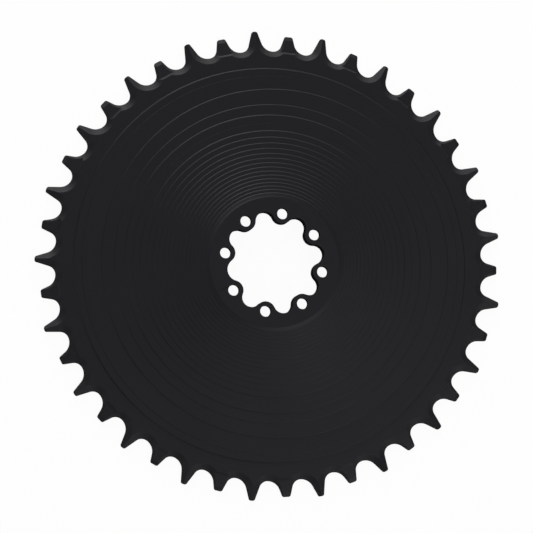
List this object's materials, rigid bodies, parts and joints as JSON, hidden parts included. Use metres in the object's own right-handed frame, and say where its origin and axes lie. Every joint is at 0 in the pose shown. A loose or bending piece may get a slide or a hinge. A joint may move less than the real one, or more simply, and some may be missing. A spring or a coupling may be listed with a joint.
{
  "type": "bicycle chainring",
  "caption": "Closed-disc bicycle chainring with alternating wide and narrow teeth, a terraced, dished face and a lobed hub that bolts straight to a crank arm.",
  "frame": {"origin": "centre of the bolt circle on the hub's front face, where the crank seats", "axes": "+Z along the ring's axis, out of the front face; -X through the shallow key lobe of the hub's opening"},
  "size_m": [0.1766, 0.1761, 0.01],
  "materials": {
    "anodised_aluminium": "black anodised over a satin machined surface"
  },
  "bodies": {
    "root": {"chainring": "anodised_aluminium"}
  },
  "joints": []
}
